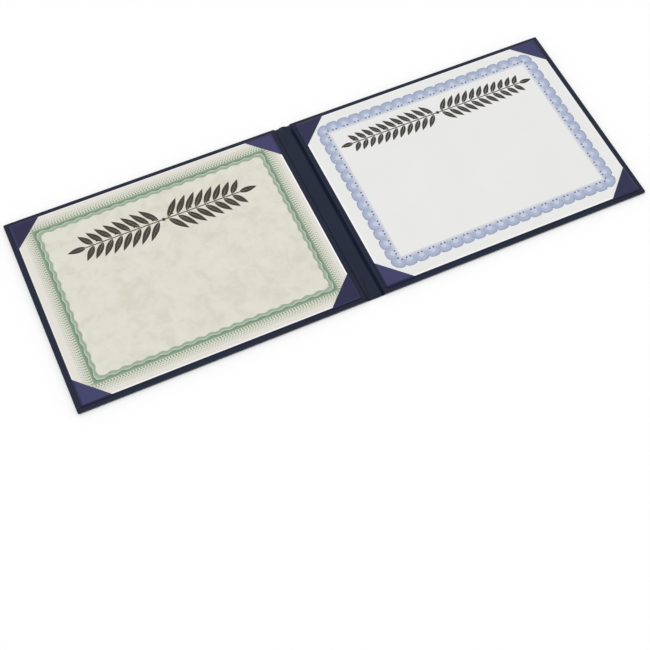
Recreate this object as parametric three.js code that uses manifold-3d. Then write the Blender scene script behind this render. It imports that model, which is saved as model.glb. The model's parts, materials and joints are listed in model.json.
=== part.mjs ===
// Award binder, lying open and flat: two padded boards wrapped in leatherette, joined by a
// narrow spine. On each inner panel four satin corner ribbons hold a sheet of stiff paper
// with a printed border. Both covers fold up at the spine.
// Millimetres. X runs along the open binder, Y away from the reader, Z up.
// The origin lies on the ground under the middle of the spine.
import * as THREE from 'three';
import { mergeVertices } from 'three/addons/utils/BufferGeometryUtils.js';
import Module from 'manifold-3d';

const wasm = await Module();
wasm.setup();

// Sheets of paper
const SHEET_W = 279.4;
const SHEET_H = 215.9;
const SHEET_T = 0.25;
const SHEET_FROM_SPINE = 14.7;
const PRINT_T = 0.1;

// Inner panels, which carry the sheets
const LINER_MARGIN = 0.75;
const LINER_T = 0.6;
const LINER_EDGE = 0.2;

// Covers, from the ground up: leatherette, foam pad, board, leatherette turned in
const LEATHER_T = 0.5;
const PAD_T = 1.0;
const BOARD_T = 2.0;
const BORDER_SIDE = 5.55;
const BORDER_END = 4.6;
const TURN_IN = 15;
const HINGE_TURN_IN = 8;
const PAD_ROLL = 6;
const CORNER_R = 1.8;
const TOP_EDGE = 0.3;

// Spine and its two folds
const HINGE_X = 6.2;
const HINGE_GAP = 0.15;
const GROOVE_W = 8.5;
const SPINE_CARD_T = 1.0;
const SPINE_CARD_HALF = 4.2;
const SPINE_FOOT = 0.7;

// Corner ribbons
const RIBBON_LEG = 28.7;
const RIBBON_T = 0.25;

// Clearance of glued and slipped-in pieces
const FIT = 0.15;

// Wavy border of the front sheet: straight outside, waves inside
const WAVE_MARGIN_SIDE = 15.5;
const WAVE_MARGIN_END = 14.75;
const WAVE_BAND = 6.8;
const WAVE_HEIGHT = 1.3;
const WAVE_PITCH = 13.4;
const WAVE_SHIFT = [1.2, 0.3];

// Scalloped border of the back sheet: lobes outside, straight inside
const LOBE_MARGIN_SIDE = 17.2;
const LOBE_MARGIN_END = 15.45;
const LOBE_BAND = 8.1;
const LOBE_RISE = 4.3;
const LOBE_PITCH = 12.9;
const LOBE_SHIFT = [0.85, 0.55];

// Laurel heading of each sheet, placed inside its border
const FRONT_LAUREL = { gapSide: 17.4, gapTop: 13.9, height: 38, pairs: 8, leafW: 6.6 };
const BACK_LAUREL = { gapSide: 3.4, gapTop: 8.4, height: 28, pairs: 11, leafW: 5.4 };
const LAUREL_STEM_W = 1.6;
const LAUREL_KNOT_R = 3.4;

// Heights and outlines that follow from the sizes above
const PAD_TOP = LEATHER_T + PAD_T;
const BOARD_TOP = PAD_TOP + BOARD_T;
const COVER_TOP = BOARD_TOP + LEATHER_T;
const LINER_TOP = COVER_TOP + LINER_T;
const SHEET_TOP = LINER_TOP + SHEET_T;
const PRINT_TOP = SHEET_TOP + PRINT_T;
const GROOVE_RISE = PAD_T / 2;
const HINGE_Z = GROOVE_RISE + LEATHER_T;
const SHEET_X = SHEET_FROM_SPINE + SHEET_W / 2;
const LINER_IN = SHEET_FROM_SPINE - LINER_MARGIN;
const LINER_OUT = SHEET_FROM_SPINE + SHEET_W + LINER_MARGIN;
const LINER_HALF_H = SHEET_H / 2 + LINER_MARGIN;
const COVER_OUT = LINER_OUT + BORDER_SIDE;
const COVER_HALF_H = LINER_HALF_H + BORDER_END;
const HINGE_EDGE = HINGE_X + HINGE_GAP;
const WALL_SLANT = LEATHER_T * Math.SQRT2;
const BOARD_IN = HINGE_EDGE + WALL_SLANT + (BOARD_TOP - HINGE_Z) + FIT;

const material = (color, roughness, metalness = 0) =>
  new THREE.MeshStandardMaterial({ color, roughness, metalness });
const leatherette = () => material(0x2b3449, 0.5);
const greyboard = () => material(0x9a958c, 0.9);
const foam = () => material(0xd9d6cc, 0.95);
const satin = () => material(0x46426c, 0.35);

const binder = new THREE.Group();

function add(name, geometry, look) {
  const mesh = new THREE.Mesh(geometry, look);
  mesh.name = name;
  binder.add(mesh);
}

// Booleans
function toSolid(geometry) {
  const bare = geometry.clone();
  bare.deleteAttribute('normal');
  bare.deleteAttribute('uv');
  const merged = mergeVertices(bare, 1e-4);
  return new wasm.Manifold(new wasm.Mesh({
    numProp: 3,
    vertProperties: new Float32Array(merged.attributes.position.array),
    triVerts: new Uint32Array(merged.index.array),
  }));
}

function toGeometry(solid) {
  const mesh = solid.getMesh();
  const geometry = new THREE.BufferGeometry();
  geometry.setAttribute('position', new THREE.BufferAttribute(mesh.vertProperties, 3));
  geometry.setIndex(new THREE.BufferAttribute(mesh.triVerts, 1));
  geometry.computeVertexNormals();
  return geometry;
}

// A solid through a chain of rounded rectangles, closed flat at its first and last one
const CORNER_STEPS = 3;

function ring({ z, x0, x1, halfH, r }) {
  const corners = [
    [x1 - r, halfH - r, 0],
    [x0 + r, halfH - r, 1],
    [x0 + r, -halfH + r, 2],
    [x1 - r, -halfH + r, 3],
  ];
  const points = [];
  for (const [cx, cy, quarter] of corners) {
    for (let step = 0; step <= CORNER_STEPS; step += 1) {
      const angle = (quarter + step / CORNER_STEPS) * Math.PI / 2;
      points.push([cx + r * Math.cos(angle), cy + r * Math.sin(angle), z]);
    }
  }
  return points;
}

function loft(rings) {
  const count = rings[0].length;
  const positions = rings.flat(2);
  const triangles = [];
  for (let level = 0; level + 1 < rings.length; level += 1) {
    for (let i = 0; i < count; i += 1) {
      const a = level * count + i;
      const b = level * count + (i + 1) % count;
      triangles.push(a, b, b + count, a, b + count, a + count);
    }
  }
  const last = (rings.length - 1) * count;
  for (let i = 1; i + 1 < count; i += 1) {
    triangles.push(0, i + 1, i);
    triangles.push(last, last + i, last + i + 1);
  }
  const geometry = new THREE.BufferGeometry();
  geometry.setAttribute('position', new THREE.Float32BufferAttribute(positions, 3));
  geometry.setIndex(triangles);
  geometry.computeVertexNormals();
  return geometry;
}

// The front half is the mirror image of the back half
function mirrored(geometry) {
  const copy = geometry.index ? geometry.toNonIndexed() : geometry.clone();
  const position = copy.attributes.position;
  for (let i = 0; i < position.count; i += 3) {
    const a = [-position.getX(i), position.getY(i), position.getZ(i)];
    const b = [-position.getX(i + 1), position.getY(i + 1), position.getZ(i + 1)];
    const c = [-position.getX(i + 2), position.getY(i + 2), position.getZ(i + 2)];
    position.setXYZ(i, ...a);
    position.setXYZ(i + 1, ...c);
    position.setXYZ(i + 2, ...b);
  }
  copy.computeVertexNormals();
  return copy;
}

// Outer and inner face of the leatherette: a quarter ellipse under the padded edges, and
// on the spine side a strip that rises to the fold, then a wall that leans back at 45 degrees,
// so that the cover can stand at a right angle to the spine
function rollInset(height) {
  const down = 1 - Math.min(height / PAD_T, 1);
  return PAD_ROLL * (1 - Math.sqrt(1 - down * down));
}

function outerEdge(z) {
  if (z < GROOVE_RISE) {
    return HINGE_EDGE + GROOVE_W * (1 - z / GROOVE_RISE);
  }
  return HINGE_EDGE + Math.max(z - HINGE_Z, 0);
}

function innerEdge(z) {
  const up = z - LEATHER_T;
  if (up < GROOVE_RISE) {
    return HINGE_EDGE + WALL_SLANT + GROOVE_W * (1 - up / GROOVE_RISE);
  }
  return HINGE_EDGE + WALL_SLANT + z - HINGE_Z;
}

function coverRing(z, inset, x0) {
  const r = Math.max(CORNER_R - inset / 2, CORNER_R / 3);
  return ring({ z, x0, x1: COVER_OUT - inset, halfH: COVER_HALF_H - inset, r });
}

const outerLevels = [0, GROOVE_RISE / 4, GROOVE_RISE, HINGE_Z, PAD_TOP, COVER_TOP - TOP_EDGE];
const innerLevels = [PAD_TOP, HINGE_Z, LEATHER_T + GROOVE_RISE / 4, LEATHER_T];

function wrapGeometry() {
  const skin = outerLevels.map((z) => coverRing(z, rollInset(z * PAD_T / PAD_TOP), outerEdge(z)));
  const hingeTurnIn = outerEdge(COVER_TOP) + HINGE_TURN_IN;
  const turnIn = [
    coverRing(COVER_TOP, TOP_EDGE, outerEdge(COVER_TOP)),
    coverRing(COVER_TOP, TURN_IN, hingeTurnIn),
    coverRing(BOARD_TOP, TURN_IN, hingeTurnIn),
    coverRing(BOARD_TOP, LEATHER_T, innerEdge(BOARD_TOP)),
  ];
  const pocket = innerLevels.map((z) =>
    coverRing(z, LEATHER_T + rollInset(z - LEATHER_T), innerEdge(z)));
  return loft([...skin, ...turnIn, ...pocket]);
}

function padGeometry() {
  const levels = [...innerLevels].reverse();
  return loft(levels.map((z) => {
    const inset = LEATHER_T + FIT + rollInset(z - LEATHER_T);
    return coverRing(z, inset, Math.max(innerEdge(z) + FIT, BOARD_IN));
  }));
}

function boardGeometry() {
  const inset = LEATHER_T + FIT;
  return loft([
    coverRing(PAD_TOP, inset + BOARD_T / 4, BOARD_IN),
    coverRing(PAD_TOP + BOARD_T / 4, inset, BOARD_IN),
    coverRing(BOARD_TOP, inset, BOARD_IN),
  ]);
}

function linerGeometry() {
  const level = (z, inset) => ring({
    z,
    x0: LINER_IN + inset,
    x1: LINER_OUT - inset,
    halfH: LINER_HALF_H - inset,
    r: LINER_MARGIN,
  });
  return loft([level(COVER_TOP, 0), level(LINER_TOP - LINER_EDGE, 0), level(LINER_TOP, LINER_EDGE)]);
}

function sheetGeometry() {
  const sheet = new THREE.BoxGeometry(SHEET_W, SHEET_H, SHEET_T);
  sheet.translate(SHEET_X, 0, LINER_TOP + SHEET_T / 2);
  return sheet;
}

// A flat outline in X and Z, drawn out along Y
function alongY(outline, halfLength, middleY = 0) {
  const shape = new THREE.Shape(outline.map(([x, z]) => new THREE.Vector2(x, z)));
  const bar = new THREE.ExtrudeGeometry(shape, { depth: 2 * halfLength, bevelEnabled: false });
  bar.rotateX(Math.PI / 2);
  bar.translate(0, middleY + halfLength, 0);
  return bar;
}

// A flat outline in X and Y with holes, as thick as the layer it stands for
function flatLayer(outline, holes, bottom, thickness) {
  const shape = new THREE.Shape(outline.map(([x, y]) => new THREE.Vector2(x, y)));
  for (const hole of holes) {
    shape.holes.push(new THREE.Path(hole.map(([x, y]) => new THREE.Vector2(x, y))));
  }
  const layer = new THREE.ExtrudeGeometry(shape, { depth: thickness, bevelEnabled: false });
  layer.translate(0, 0, bottom);
  return layer;
}

// Spine: a leatherette strip with turned-in ends, a card, and the lining over it
const SPINE_EDGE = HINGE_X - HINGE_GAP;
const SPINE_TOP = LEATHER_T + SPINE_CARD_T + LEATHER_T;
const LINING_TOP_HALF = SPINE_EDGE - (SPINE_TOP - HINGE_Z);
const FOOT_IN = SPINE_EDGE - SPINE_FOOT;
const SPINE_FLAT = SPINE_CARD_HALF + FIT;

function bothSides(rightHalf) {
  const left = rightHalf.map(([x, z]) => [-x, z]).reverse();
  return [...left, ...rightHalf];
}

function spineWrapGeometry() {
  const under = bothSides([[SPINE_FLAT, 0], [FOOT_IN, GROOVE_RISE], [SPINE_EDGE, GROOVE_RISE]]);
  const over = bothSides([[SPINE_FLAT, LEATHER_T], [FOOT_IN, HINGE_Z], [SPINE_EDGE, HINGE_Z]]);
  const roof = bothSides([[LINING_TOP_HALF, SPINE_TOP], [SPINE_EDGE, HINGE_Z]]);
  let solid = toSolid(alongY([...under, ...over.reverse()], COVER_HALF_H));
  for (const side of [-1, 1]) {
    const middle = side * (COVER_HALF_H - LEATHER_T / 2);
    const end = alongY([...under, ...[...roof].reverse()], LEATHER_T / 2, middle);
    solid = solid.add(toSolid(end));
  }
  return toGeometry(solid);
}

function spineCardGeometry() {
  const card = new THREE.BoxGeometry(
    2 * SPINE_CARD_HALF, 2 * (COVER_HALF_H - LEATHER_T - FIT), SPINE_CARD_T);
  card.translate(0, 0, LEATHER_T + SPINE_CARD_T / 2);
  return card;
}

function spineLiningGeometry() {
  const outside = bothSides([[LINING_TOP_HALF, SPINE_TOP], [SPINE_EDGE, HINGE_Z]]);
  const slope = SPINE_TOP - LEATHER_T - HINGE_Z;
  const inside = bothSides([[FOOT_IN - slope, SPINE_TOP - LEATHER_T], [FOOT_IN, HINGE_Z]]);
  return alongY([...outside, ...inside.reverse()], COVER_HALF_H - LEATHER_T - FIT);
}

// Corner ribbon: a satin triangle over the sheet's corner, folded down along the liner's edges
function ribbonGeometry(sideX, sideY) {
  const sheetEdge = sideX > 0 ? SHEET_FROM_SPINE + SHEET_W : SHEET_FROM_SPINE;
  const beyond = LINER_MARGIN + FIT + RIBBON_T;
  const leg = RIBBON_LEG + 2 * beyond;
  const cornerX = sheetEdge + sideX * beyond;
  const cornerY = sideY * (SHEET_H / 2 + beyond);
  const outline = [
    [cornerX, cornerY],
    [cornerX - sideX * leg, cornerY],
    [cornerX, cornerY - sideY * leg],
  ];
  const height = PRINT_TOP + RIBBON_T - COVER_TOP;
  const block = toSolid(flatLayer(outline, [], COVER_TOP, height));
  const room = new THREE.BoxGeometry(
    LINER_OUT - LINER_IN + 2 * FIT, 2 * (LINER_HALF_H + FIT), 2 * (PRINT_TOP - COVER_TOP));
  room.translate(SHEET_X, 0, COVER_TOP);
  return toGeometry(block.subtract(toSolid(room)));
}

// Printed borders, as thin layers of colour
function rectangle(halfW, halfH) {
  return [[-halfW, -halfH], [halfW, -halfH], [halfW, halfH], [-halfW, halfH]];
}

function moved(points, [dx, dy]) {
  return points.map(([x, y]) => [x + dx, y + dy]);
}

// Walks round a rectangle: each side has its start, its direction and its outward normal
function sidesOf(halfW, halfH) {
  return [
    { from: [-halfW, -halfH], along: [1, 0], out: [0, -1], length: 2 * halfW },
    { from: [halfW, -halfH], along: [0, 1], out: [1, 0], length: 2 * halfH },
    { from: [halfW, halfH], along: [-1, 0], out: [0, 1], length: 2 * halfW },
    { from: [-halfW, halfH], along: [0, -1], out: [-1, 0], length: 2 * halfH },
  ];
}

function waveOutline(halfW, halfH) {
  const steps = 6;
  const points = [];
  for (const { from, along, out, length } of sidesOf(halfW, halfH)) {
    const waves = Math.round(length / WAVE_PITCH);
    for (let i = 1; i < waves * steps; i += 1) {
      const run = length * i / (waves * steps);
      const rise = -WAVE_HEIGHT * Math.sin(Math.PI * i / steps) ** 2;
      points.push([
        from[0] + along[0] * run + out[0] * rise,
        from[1] + along[1] * run + out[1] * rise,
      ]);
    }
  }
  return points;
}

function arc(points, [cx, cy], radius, start, end, steps) {
  for (let i = 0; i < steps; i += 1) {
    const angle = start + (end - start) * i / steps;
    points.push([cx + radius * Math.cos(angle), cy + radius * Math.sin(angle)]);
  }
}

function lobeOutline(halfW, halfH) {
  const points = [];
  for (const { from, along, out, length } of sidesOf(halfW, halfH)) {
    const lobes = Math.round(length / LOBE_PITCH);
    const half = length / lobes / 2;
    const radius = (half * half + LOBE_RISE * LOBE_RISE) / (2 * LOBE_RISE);
    const spread = Math.asin(half / radius);
    const facing = Math.atan2(out[1], out[0]);

    // Round lobe on the corner where this side starts
    const back = (half * half - LOBE_RISE * LOBE_RISE) / (2 * (half + LOBE_RISE));
    const cornerR = LOBE_RISE - back;
    const inward = [along[0] - out[0], along[1] - out[1]];
    const middle = [from[0] - inward[0] * back, from[1] - inward[1] * back];
    const reach = Math.atan2(back, half + back);
    arc(points, middle, cornerR, facing - Math.PI - reach, facing + Math.PI / 2 + reach, 10);

    for (let i = 1; i < lobes; i += 1) {
      const run = 2 * half * i;
      const depth = radius - LOBE_RISE;
      const centre = [
        from[0] + along[0] * run - out[0] * depth,
        from[1] + along[1] * run - out[1] * depth,
      ];
      arc(points, centre, radius, facing - spread, facing + spread, 6);
    }
  }
  return points;
}

// Each border: half its outer width and height, its band, and its middle on the sheet
const waveBorder = {
  halfW: SHEET_W / 2 - WAVE_MARGIN_SIDE,
  halfH: SHEET_H / 2 - WAVE_MARGIN_END,
  band: WAVE_BAND,
  place: [-SHEET_X + WAVE_SHIFT[0], WAVE_SHIFT[1]],
};
const lobeBorder = {
  halfW: SHEET_W / 2 - LOBE_MARGIN_SIDE,
  halfH: SHEET_H / 2 - LOBE_MARGIN_END,
  band: LOBE_BAND,
  place: [SHEET_X + LOBE_SHIFT[0], LOBE_SHIFT[1]],
};

function borderGeometry({ halfW, halfH, band, place }, outer, inner) {
  const outside = moved(outer(halfW, halfH), place);
  const inside = moved(inner(halfW - band, halfH - band), place);
  return flatLayer(outside, [inside], SHEET_TOP, PRINT_T);
}

// Laurel: two sprays of leaves in pairs on a stem, tied in the middle
function leafOutline(length, width) {
  const steps = 5;
  const points = [];
  for (const side of [1, -1]) {
    for (let i = 0; i < steps; i += 1) {
      const run = side > 0 ? i / steps : 1 - i / steps;
      const belly = Math.sin(Math.PI * run ** 0.8);
      points.push([length * run, -side * belly * width / 2]);
    }
  }
  return points;
}

function leafSolid(length, width, angle, x, y) {
  const leaf = flatLayer(leafOutline(length, width), [], SHEET_TOP, PRINT_T);
  leaf.rotateZ(angle);
  leaf.translate(x, y, 0);
  return toSolid(leaf);
}

function laurelGeometry({ gapSide, gapTop, height, pairs, leafW }, border) {
  const halfW = border.halfW - border.band - gapSide;
  const x = border.place[0];
  const y = border.place[1] + border.halfH - border.band - gapTop - height / 2;
  const lean = 0.9;
  const leafL = height / 2 / Math.sin(lean);
  const tipL = height / 2;
  const stemEnd = halfW - tipL;
  const stem = rectangle(stemEnd + LAUREL_STEM_W, LAUREL_STEM_W / 2);
  let solid = toSolid(flatLayer(moved(stem, [x, y]), [], SHEET_TOP, PRINT_T));
  const knot = new THREE.CylinderGeometry(LAUREL_KNOT_R, LAUREL_KNOT_R, PRINT_T, 20);
  knot.rotateX(Math.PI / 2);
  knot.translate(x, y, SHEET_TOP + PRINT_T / 2);
  solid = solid.add(toSolid(knot));
  for (const side of [-1, 1]) {
    const outward = side > 0 ? 0 : Math.PI;
    for (let i = 0; i < pairs; i += 1) {
      const run = LAUREL_KNOT_R + (stemEnd - LAUREL_KNOT_R) * (i + 0.2) / pairs;
      const fade = 1 - 0.3 * (i / pairs) ** 2;
      for (const up of [-1, 1]) {
        const angle = outward + side * up * lean;
        solid = solid.add(leafSolid(leafL * fade, leafW, angle, x + side * run, y));
      }
    }
    solid = solid.add(leafSolid(tipL, leafW, outward, x + side * stemEnd, y));
  }
  return toGeometry(solid);
}

// Covers, the back one to the right and the front one to the left
const coverPieces = [
  ['wrap', wrapGeometry, leatherette],
  ['pad', padGeometry, foam],
  ['board', boardGeometry, greyboard],
  ['liner', linerGeometry, () => material(0x2a3046, 0.6)],
];
for (const [piece, make, look] of coverPieces) {
  add(`back_${piece}`, make(), look());
  add(`front_${piece}`, mirrored(make()), look());
}

// Spine
add('spine_wrap', spineWrapGeometry(), leatherette());
add('spine_card', spineCardGeometry(), greyboard());
add('spine_lining', spineLiningGeometry(), leatherette());

// Sheets, with their borders and headings
add('back_sheet', sheetGeometry(), material(0xe9e9e7, 0.85));
add('front_sheet', mirrored(sheetGeometry()), material(0xe0dfd2, 0.85));
const lobes = borderGeometry(lobeBorder, lobeOutline, rectangle);
const waves = borderGeometry(waveBorder, rectangle, waveOutline);
add('back_sheet_border', lobes, material(0xa6b3d4, 0.8));
add('front_sheet_border', waves, material(0x86a68e, 0.8));
add('back_sheet_laurel', laurelGeometry(BACK_LAUREL, lobeBorder), material(0x3f3f3c, 0.8));
add('front_sheet_laurel', laurelGeometry(FRONT_LAUREL, waveBorder), material(0x3b382f, 0.8));

// Corner ribbons
for (const [edge, sideX] of [['outer', 1], ['spine', -1]]) {
  for (const [end, sideY] of [['far', 1], ['near', -1]]) {
    const ribbon = ribbonGeometry(sideX, sideY);
    add(`back_ribbon_${end}_${edge}`, ribbon, satin());
    add(`front_ribbon_${end}_${edge}`, mirrored(ribbon), satin());
  }
}

export default binder;
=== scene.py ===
# Award binder lying open: leatherette over padded boards, a spine with two folds, and on each
# inner panel a sheet of paper with a printed border, held by four satin corner ribbons.
import json
import math

import bmesh
import bpy
from mathutils import Matrix, Vector, noise


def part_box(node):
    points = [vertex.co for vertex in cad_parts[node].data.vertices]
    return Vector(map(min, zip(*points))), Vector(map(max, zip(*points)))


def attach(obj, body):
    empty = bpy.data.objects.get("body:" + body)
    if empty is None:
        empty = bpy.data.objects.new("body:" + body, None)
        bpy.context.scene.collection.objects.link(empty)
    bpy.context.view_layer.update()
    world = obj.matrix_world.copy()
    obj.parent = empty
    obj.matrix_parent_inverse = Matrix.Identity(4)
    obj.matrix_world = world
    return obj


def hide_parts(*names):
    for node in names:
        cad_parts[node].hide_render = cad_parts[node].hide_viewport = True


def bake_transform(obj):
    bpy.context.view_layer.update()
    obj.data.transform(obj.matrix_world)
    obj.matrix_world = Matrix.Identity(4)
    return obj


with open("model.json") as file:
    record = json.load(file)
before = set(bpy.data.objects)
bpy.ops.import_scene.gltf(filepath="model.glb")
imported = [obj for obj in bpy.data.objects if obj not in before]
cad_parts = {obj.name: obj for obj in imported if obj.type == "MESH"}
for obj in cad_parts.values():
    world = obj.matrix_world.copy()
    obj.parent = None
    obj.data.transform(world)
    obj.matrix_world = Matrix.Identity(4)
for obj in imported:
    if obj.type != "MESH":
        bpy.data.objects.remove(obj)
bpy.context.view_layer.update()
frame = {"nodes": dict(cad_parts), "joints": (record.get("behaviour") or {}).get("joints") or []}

bl_info = {
    "name": "Award Binder",
    "version": (1, 0, 0),
    "blender": (4, 5, 0),
    "location": "3D View > Sidebar > Binder",
    "description": "Dresses an open padded binder in leatherette, paper, print and satin",
    "category": "Add Mesh",
}

MM = 0.001


def joint_place(name):
    """Where a fold's axis lies, as (x, y, z) in millimetres."""
    joint = next(j for j in frame["joints"] if j["name"] == name)
    return [c / MM for c in joint["pos_m"]]


def node_box(name):
    """The low and high corner of a CAD node, in millimetres."""
    low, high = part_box(name)
    return low / MM, high / MM


def box_frame(name):
    """Middle and half sizes of a CAD node seen from above, in millimetres."""
    low, high = node_box(name)
    return Vector(((low.x + high.x) / 2, (low.y + high.y) / 2)), (high - low) / 2


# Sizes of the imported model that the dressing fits, in millimetres
WRAP_LOW, WRAP_HIGH = node_box("back_wrap")
LINER_LOW = node_box("back_liner")[0]
SHEET_LOW, SHEET_HIGH = node_box("back_sheet")
RIBBON_LOW, RIBBON_HIGH = node_box("back_ribbon_far_outer")
HINGE_X, _, HINGE_Z = joint_place("back_fold")
COVER_OUT = WRAP_HIGH.x
COVER_HALF = WRAP_HIGH.y
COVER_TOP = WRAP_HIGH.z
SHEET_X = (SHEET_LOW.x + SHEET_HIGH.x) / 2
SHEET_HALF_W = (SHEET_HIGH.x - SHEET_LOW.x) / 2
SHEET_HALF_H = SHEET_HIGH.y
SHEET_TOP = SHEET_HIGH.z
SHEET_T = SHEET_HIGH.z - SHEET_LOW.z

# Covers are built for the back, which lies at positive X, and mirrored for the front
COVERS = {"back": 1, "front": -1}


def shade(red, green, blue):
    """A linear colour from the 0 to 255 values of a screen colour."""
    def linear(value):
        part = value / 255
        return part / 12.92 if part <= 0.04045 else ((part + 0.055) / 1.055) ** 2.4
    return (linear(red), linear(green), linear(blue), 1.0)


def colour_prop(name, description, rgb):
    return bpy.props.FloatVectorProperty(
        name=name, description=description, default=shade(*rgb),
        subtype="COLOR", size=4, min=0, max=1)


def length_prop(name, description, millimetres):
    return bpy.props.FloatProperty(
        name=name, description=description, default=millimetres * MM,
        min=0, unit="LENGTH", subtype="DISTANCE")


class BinderCoverSettings(bpy.types.PropertyGroup):
    """Sizes and colours of the leatherette, its lining and the boards."""

    leatherette: colour_prop("Leatherette", "Colour of the cover material", (20, 28, 49))
    liner: colour_prop("Panel cloth", "Colour of the inner panels", (30, 34, 52))
    skin: length_prop("Leatherette thickness", "Thickness of the cover material", 0.2)
    grain: length_prop("Grain size", "Width of a pebble of the grain", 0.55)
    grain_depth: length_prop("Grain depth", "Depth of the grain", 0.028)
    roll: length_prop("Padded edge", "Width of the rolled edge of the padding", 6.0)
    roll_height: length_prop("Padded edge height", "Height of the rolled edge", 1.5)
    top_edge: length_prop("Top edge", "Radius of the board's covered top edge", 0.6)
    corner: length_prop("Corner", "Corner radius of the covers", 1.1)
    turn_in: length_prop("Turn-in", "Width of the leatherette turned in over the board", 15.0)
    foam: colour_prop("Foam", "Colour of the padding", (217, 214, 204))
    greyboard: colour_prop("Board", "Colour of the boards", (154, 149, 140))


class BinderSheetSettings(bpy.types.PropertyGroup):
    """Colours of the papers and the print, and how far the paper lifts."""

    white: colour_prop("White paper", "Colour of the back sheet", (233, 233, 232))
    parchment: colour_prop("Parchment", "Colour of the front sheet", (221, 219, 206))
    lift: length_prop("Paper lift", "How far the sheet's edges lift between the ribbons", 0.1)
    green: colour_prop("Green ink", "Dark core of the wavy border", (108, 139, 112))
    pale_green: colour_prop("Pale green ink", "Light band of the wavy border", (154, 174, 152))
    blue: colour_prop("Blue ink", "Lobes of the scalloped border", (163, 174, 201))
    deep_blue: colour_prop("Deep blue ink", "Rims of the scalloped border", (136, 147, 174))
    dark: colour_prop("Dark ink", "Ink of the laurels", (66, 63, 56))


class BinderRibbonSettings(bpy.types.PropertyGroup):
    """Colour and shape of the corner ribbons."""

    satin: colour_prop("Satin", "Colour of the ribbons", (25, 21, 37))
    pucker: length_prop("Pucker", "Height of the folds where a ribbon is pulled over", 0.14)


class BinderStageSettings(bpy.types.PropertyGroup):
    """Camera and light."""

    lens: bpy.props.FloatProperty(
        name="Lens", description="Focal length of the camera",
        default=71.22, min=1, unit="CAMERA", subtype="DISTANCE_CAMERA")
    sky: bpy.props.FloatProperty(
        name="Sky", description="Strength of the soft light from all round", default=0.6, min=0)
    key: bpy.props.FloatProperty(
        name="Key light", description="Strength of the large soft lamp", default=1.35, min=0)


# Materials


class Value:
    """A number or colour in a node tree. Arithmetic on it adds the nodes that work it out."""

    def __init__(self, nodes, socket):
        self.nodes, self.socket = nodes, socket

    def __add__(self, other):
        return self.nodes.math("ADD", self, other)

    def __sub__(self, other):
        return self.nodes.math("SUBTRACT", self, other)

    def __rsub__(self, other):
        return self.nodes.math("SUBTRACT", other, self)

    def __mul__(self, other):
        return self.nodes.math("MULTIPLY", self, other)

    def __truediv__(self, other):
        return self.nodes.math("DIVIDE", self, other)

    def __abs__(self):
        return self.nodes.math("ABSOLUTE", self)

    def share(self, whole):
        """Its share of a whole, kept from 0 to 1."""
        return self.nodes.math("DIVIDE", self, whole, clamp=True)


class Nodes:
    """Adds nodes to a tree and gives back the values that they put out."""

    def __init__(self, tree):
        self.tree = tree

    def fill(self, node, values):
        """Sets or links the inputs of a node, by name or number."""
        for key, value in values.items():
            if isinstance(value, Value):
                self.tree.links.new(value.socket, node.inputs[key])
            else:
                node.inputs[key].default_value = value

    def node(self, kind, values=None, **settings):
        made = self.tree.nodes.new(f"ShaderNode{kind}")
        for key, value in settings.items():
            setattr(made, key, value)
        self.fill(made, values or {})
        return made

    def add(self, kind, values=None, **settings):
        """The outputs of a new node, by name."""
        made = self.node(kind, values, **settings)
        return {name: Value(self, socket) for name, socket in made.outputs.items()}

    def math(self, operation, first, second=0.0, clamp=False):
        made = self.node("Math", {0: first, 1: second}, operation=operation, use_clamp=clamp)
        return Value(self, made.outputs[0])

    def highest(self, *values):
        top = values[0]
        for value in values[1:]:
            top = self.math("MAXIMUM", top, value)
        return top

    def mix(self, factor, first, second, blend="MIX"):
        made = self.node(
            "Mix", {0: factor, 6: first, 7: second}, data_type="RGBA", blend_type=blend)
        return Value(self, made.outputs[2])

    def ramp(self, factor, *stops):
        """A colour ramp through (place, colour) stops. A plain number is a grey."""
        made = self.node("ValToRGB", {"Fac": factor})
        elements = made.color_ramp.elements
        while len(elements) < len(stops):
            elements.new(1.0)
        for element, (place, colour) in zip(elements, stops):
            element.position = place
            element.color = grey(colour) if isinstance(colour, float) else colour
        return Value(self, made.outputs["Color"])

    def shades(self, factor, base, *stops):
        """A ramp through (place, share) stops, each a share of one colour."""
        return self.ramp(factor, *((place, tint(base, share)) for place, share in stops))

    def split(self, vector):
        """The three numbers of a vector."""
        return self.add("SeparateXYZ", {"Vector": vector}).values()

    def place(self, unit=MM):
        """Object coordinates, counted in a unit given in metres."""
        coords = self.add("TexCoord")["Object"]
        return self.add("Mapping", {"Vector": coords, "Scale": (1 / unit,) * 3})["Vector"]

    def noise(self, vector, scale, detail, **more):
        values = {"Vector": vector, "Scale": scale, "Detail": detail, **more}
        return self.add("TexNoise", values)

    def bump(self, height, distance):
        return self.add("Bump", {"Height": height, "Distance": distance})["Normal"]

    def group(self, make, values):
        """The outputs of a shared node group, which is made on its first use."""
        if make not in GROUPS:
            GROUPS[make] = make()
        return self.add("Group", values, node_tree=GROUPS[make])


class Surface(Nodes):
    """The nodes of a new material."""

    def __init__(self, name):
        self.material = bpy.data.materials.new(name)
        self.material.use_nodes = True
        super().__init__(self.material.node_tree)

    def finish(self, values):
        """Gives its Principled BSDF these values, and gives back the material."""
        self.fill(self.tree.nodes["Principled BSDF"], values)
        return self.material


GROUPS = {}


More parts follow.
